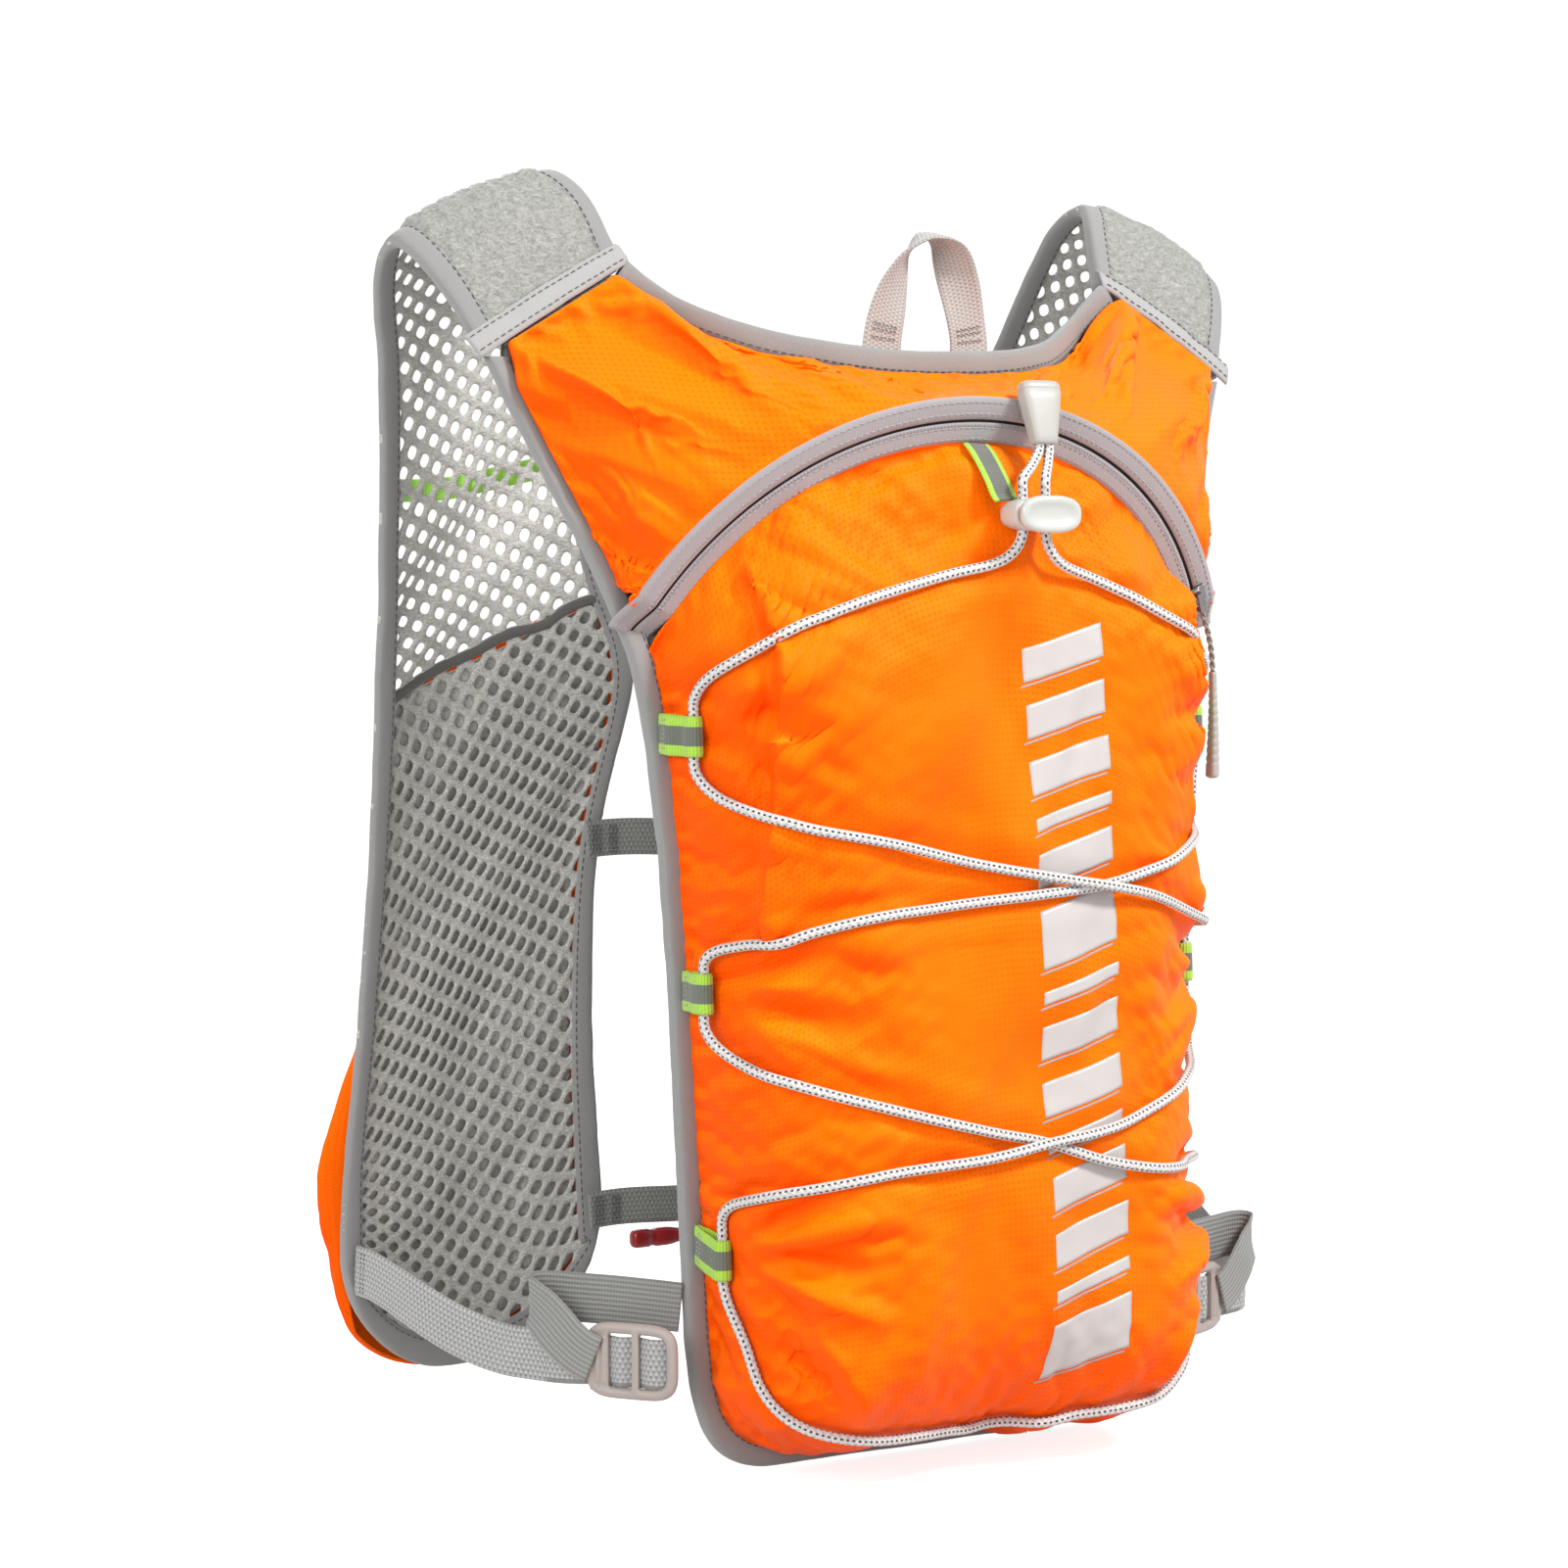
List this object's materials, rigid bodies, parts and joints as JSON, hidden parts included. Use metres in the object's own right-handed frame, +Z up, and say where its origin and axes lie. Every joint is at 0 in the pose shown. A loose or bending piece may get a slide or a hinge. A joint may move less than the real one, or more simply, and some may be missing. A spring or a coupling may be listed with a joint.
{
  "type": "hydration pack",
  "caption": "Slim running-vest hydration pack with an arched zip, crossed elastic lacing, mesh harness panels with bottle pockets, sternum straps and side adjusters.",
  "frame": {"origin": "bottom centre of the back panel's wearer-side face, at the lowest edge of the bag", "axes": "+X is the wearer's right, +Y is the way the wearer faces, +Z is up; the bag bulges towards -Y and the harness panels hang at +Y"},
  "size_m": [0.3984, 0.2478, 0.4989],
  "materials": {
    "orange_ripstop": "coated ripstop shell fabric with a fine dot grid, soft sheen",
    "grey_binding": "matte woven edge binding tape with a stitch line",
    "grey_spacer_mesh": "open knitted spacer mesh",
    "light_shoulder_mesh": "padded closed spacer mesh with a raised cell pattern",
    "lining": "plain grey lining fabric",
    "zip_tape": "woven zip tape, light grey-mauve",
    "zip_coil": "nylon coil",
    "zip_metal": "small die-cast slider",
    "elastic_cord": "white braided elastic cord with dark flecks",
    "lime_webbing": "lime webbing with a grey reflective centre",
    "grey_webbing": "light grey woven webbing",
    "dark_webbing": "dark grey ribbed webbing",
    "beige_plastic": "moulded acetal, warm grey-beige",
    "pale_plastic": "moulded acetal, pale grey",
    "red_plastic": "moulded red plastic",
    "bladder_film": "clear blue-tinted film",
    "blue_plastic": "moulded blue plastic",
    "spring_steel": "drawn wire"
  },
  "bodies": {
    "pack": {"back_panel": "grey_spacer_mesh", "back_binding": "grey_binding", "neck_binding": "grey_binding", "front_shell": "orange_ripstop", "yoke_shell": "orange_ripstop", "zip_tape_lower": "zip_tape", "zip_tape_upper": "zip_tape", "zip_coil": "zip_coil", "lacing_cord": "elastic_cord", "cord_lock_tab": "lime_webbing", "cord_lock_body": "pale_plastic", "cord_lock_spring": "spring_steel", "cord_tail_left": "elastic_cord", "cord_tail_right": "elastic_cord", "bladder_sleeve": "lining", "bladder": "bladder_film", "bladder_hanger": "lining", "drink_tube": "bladder_film", "bite_valve": "blue_plastic", "shoulder_pad_left": "light_shoulder_mesh", "shoulder_tape_left": "grey_webbing", "side_strap_rear_left": "dark_webbing", "lacing_tab_left_1": "lime_webbing", "lacing_tab_left_2": "lime_webbing", "lacing_tab_left_3": "lime_webbing", "shoulder_pad_right": "light_shoulder_mesh", "shoulder_tape_right": "grey_webbing", "side_strap_rear_right": "dark_webbing", "lacing_tab_right_1": "lime_webbing", "lacing_tab_right_2": "lime_webbing", "lacing_tab_right_3": "lime_webbing"},
    "zip_slider": {"zip_slider": "zip_metal"},
    "zip_puller": {"zip_puller": "beige_plastic"},
    "cord_lock_button": {"cord_lock_button": "pale_plastic"},
    "cord_end": {"cord_end": "beige_plastic"},
    "grab_loop": {"grab_loop": "grey_webbing"},
    "bladder_cap": {"bladder_cap": "blue_plastic"},
    "harness_left": {"harness_panel_left": "grey_spacer_mesh", "harness_binding_left": "grey_binding", "harness_liner_left": "lining", "bottle_pocket_left": "orange_ripstop", "hose_keeper_left": "lime_webbing", "side_strap_front_left": "grey_webbing", "sternum_upper_webbing_left": "dark_webbing", "sternum_lower_webbing_left": "dark_webbing", "sternum_upper_buckle_female": "beige_plastic", "sternum_lower_buckle_female": "beige_plastic", "whistle": "red_plastic"},
    "harness_right": {"harness_panel_right": "grey_spacer_mesh", "harness_binding_right": "grey_binding", "harness_liner_right": "lining", "bottle_pocket_right": "orange_ripstop", "hose_keeper_right": "lime_webbing", "side_strap_front_right": "grey_webbing", "sternum_upper_webbing_right": "dark_webbing", "sternum_lower_webbing_right": "dark_webbing"},
    "sternum_upper_male": {"sternum_upper_buckle_male": "beige_plastic"},
    "sternum_lower_male": {"sternum_lower_buckle_male": "beige_plastic"},
    "ladder_lock_left": {"ladder_lock_left": "beige_plastic"},
    "ladder_lock_right": {"ladder_lock_right": "beige_plastic"}
  },
  "joints": [
    {"name": "harness_left_swing", "type": "hinge", "parent": "pack", "child": "harness_left", "pos_m": [0, 0.069, 0.486], "axis": [1, 0, 0], "range_deg": [-6, 8], "deforming": ["side_strap_front_left"]},
    {"name": "harness_right_swing", "type": "hinge", "parent": "pack", "child": "harness_right", "pos_m": [0, 0.069, 0.486], "axis": [1, 0, 0], "range_deg": [-6, 8], "deforming": ["side_strap_front_right"]},
    {"name": "sternum_upper_release", "type": "slide", "parent": "harness_right", "child": "sternum_upper_male", "axis": [1, 0, 0], "range_m": [0, 0.022], "deforming": ["sternum_upper_webbing_right"]},
    {"name": "sternum_lower_release", "type": "slide", "parent": "harness_right", "child": "sternum_lower_male", "axis": [1, 0, 0], "range_m": [0, 0.022], "deforming": ["sternum_lower_webbing_right"]},
    {"name": "ladder_lock_left_tilt", "type": "hinge", "parent": "pack", "child": "ladder_lock_left", "pos_m": [-0.14013, 0.01377, 0.047], "axis": [0, 0, -1], "range_deg": [0, 35], "deforming": ["side_strap_front_left", "side_strap_rear_left"]},
    {"name": "ladder_lock_right_tilt", "type": "hinge", "parent": "pack", "child": "ladder_lock_right", "pos_m": [0.14013, 0.01377, 0.047], "axis": [0, 0, 1], "range_deg": [0, 35], "deforming": ["side_strap_front_right", "side_strap_rear_right"]},
    {"name": "zip_travel", "type": "hinge", "parent": "pack", "child": "zip_slider", "pos_m": [0, 0.01258, 0.27348], "axis": [0, -0.9178, -0.3969], "range_deg": [0, 124], "deforming": ["zip_puller"]},
    {"name": "zip_puller_pivot", "type": "hinge", "parent": "zip_slider", "child": "zip_puller", "pos_m": [0.12596, -0.01543, 0.32818], "axis": [-0.8829, 0.1864, -0.431], "range_deg": [0, 80]},
    {"name": "cord_lock_press", "type": "slide", "parent": "pack", "child": "cord_lock_button", "axis": [0, 1, 0], "range_m": [0, 0.003], "stiffness_N_per_m": 300, "deforming": ["cord_lock_spring"]},
    {"name": "cord_end_pull", "type": "slide", "parent": "pack", "child": "cord_end", "axis": [0.0499, 0.2493, 0.9672], "range_m": [0, 0.03], "deforming": ["cord_tail_left", "cord_tail_right"]},
    {"name": "grab_loop_flop", "type": "hinge", "parent": "pack", "child": "grab_loop", "pos_m": [0, -0.0025, 0.4332], "axis": [1, 0, 0], "range_deg": [-40, 40]},
    {"name": "bladder_cap_turn", "type": "hinge", "parent": "pack", "child": "bladder_cap", "pos_m": [0, -0.0334, 0.262], "axis": [0, -1, 0], "range_deg": [0, 180]}
  ],
  "couplings": [
    {"joint": "harness_right_swing", "follows": "harness_left_swing", "ratio": 1}
  ]
}
